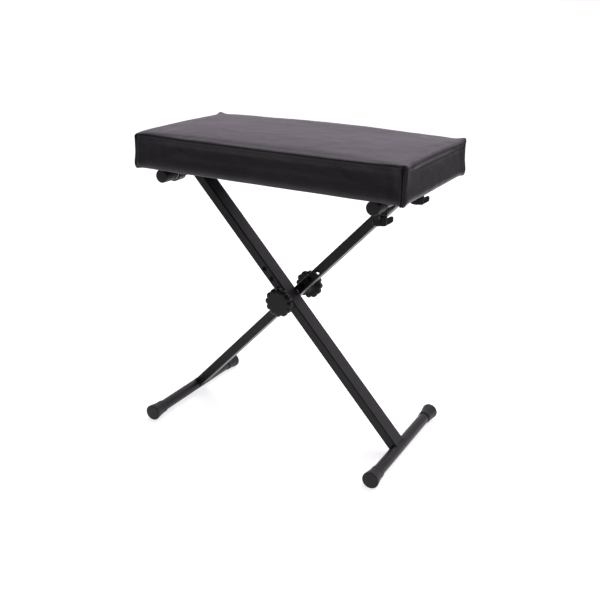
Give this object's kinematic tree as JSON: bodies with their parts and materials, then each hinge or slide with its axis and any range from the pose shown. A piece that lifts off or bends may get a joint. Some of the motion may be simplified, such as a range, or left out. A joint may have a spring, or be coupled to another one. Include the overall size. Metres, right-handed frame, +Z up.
{
  "type": "folding keyboard bench",
  "caption": "Folding bench: padded rectangular seat on a cross frame of tube legs that turn on a knobbed pivot bolt, with sleeved feet and hooks under the seat that wing screws clamp.",
  "frame": {"origin": "on the floor, under the middle of the bench, at the centre of its bounding box's bottom", "axes": "+X along the seat, from the hinge end to the hook end; +Y away from the front knob; +Z up"},
  "size_m": [0.46, 0.261, 0.5077],
  "materials": {
    "black_paint": "satin",
    "cap_rubber": "matte",
    "black_plastic": "matte",
    "nylon": "satin",
    "zinc_steel": "satin",
    "brass_insert": "satin",
    "leatherette": "grained, semi-gloss",
    "foam": "matte",
    "plywood": "raw",
    "lining_cloth": "matte"
  },
  "bodies": {
    "front_frame": {"front_leg": "black_paint", "left_top_tube": "black_paint", "right_foot_tube": "black_paint", "left_top_cap_front": "cap_rubber", "left_top_cap_rear": "cap_rubber", "right_foot_cap_front": "cap_rubber", "right_foot_cap_rear": "cap_rubber", "front_washer": "zinc_steel", "leg_spacer": "nylon"},
    "rear_frame": {"rear_leg": "black_paint", "right_top_tube": "black_paint", "left_foot_tube": "black_paint", "right_top_cap_front": "cap_rubber", "right_top_cap_rear": "cap_rubber", "left_foot_cap_front": "cap_rubber", "left_foot_cap_rear": "cap_rubber", "rear_washer": "zinc_steel"},
    "knob_and_bolt": {"pivot_bolt": "zinc_steel", "front_knob": "black_plastic"},
    "rear_knob_body": {"rear_knob": "black_plastic", "rear_knob_insert": "brass_insert"},
    "seat": {"seat_cover": "leatherette", "seat_foam": "foam", "seat_board": "plywood", "seat_lining": "lining_cloth", "staples": "zinc_steel", "tee_nuts": "zinc_steel", "saddle_front": "black_paint", "saddle_rear": "black_paint", "saddle_bush_front": "nylon", "saddle_bush_rear": "nylon", "hook_front": "black_paint", "hook_rear": "black_paint", "hook_weld_nuts": "black_paint", "saddle_screws": "zinc_steel", "hook_screws": "zinc_steel"},
    "wing_screw_front": {"wing_handle_front": "black_plastic", "wing_stud_front": "zinc_steel"},
    "wing_screw_rear": {"wing_handle_rear": "black_plastic", "wing_stud_rear": "zinc_steel"}
  },
  "joints": [
    {"name": "leg_fold", "type": "hinge", "parent": "front_frame", "child": "rear_frame", "pos_m": [-0.0037, 0, 0.23922], "axis": [0, 1, 0], "range_deg": [0, 88]},
    {"name": "seat_swing", "type": "hinge", "parent": "front_frame", "child": "seat", "pos_m": [-0.18675, 0, 0.4362], "axis": [0, 1, 0], "range_deg": [0, 44]},
    {"name": "front_knob_spin", "type": "hinge", "parent": "front_frame", "child": "knob_and_bolt", "pos_m": [-0.0037, 0, 0.23922], "axis": [0, 1, 0], "continuous": true},
    {"name": "rear_knob_spin", "type": "hinge", "parent": "rear_frame", "child": "rear_knob_body", "pos_m": [-0.0037, 0, 0.23922], "axis": [0, 1, 0], "continuous": true},
    {"name": "wing_spin_front", "type": "hinge", "parent": "seat", "child": "wing_screw_front", "pos_m": [0.17935, -0.074, 0.4102], "axis": [0, 0, 1], "continuous": true},
    {"name": "wing_spin_rear", "type": "hinge", "parent": "seat", "child": "wing_screw_rear", "pos_m": [0.17935, 0.074, 0.4102], "axis": [0, 0, 1], "continuous": true}
  ],
  "couplings": [
    {"joint": "seat_swing", "follows": "leg_fold", "ratio": 0.5}
  ]
}
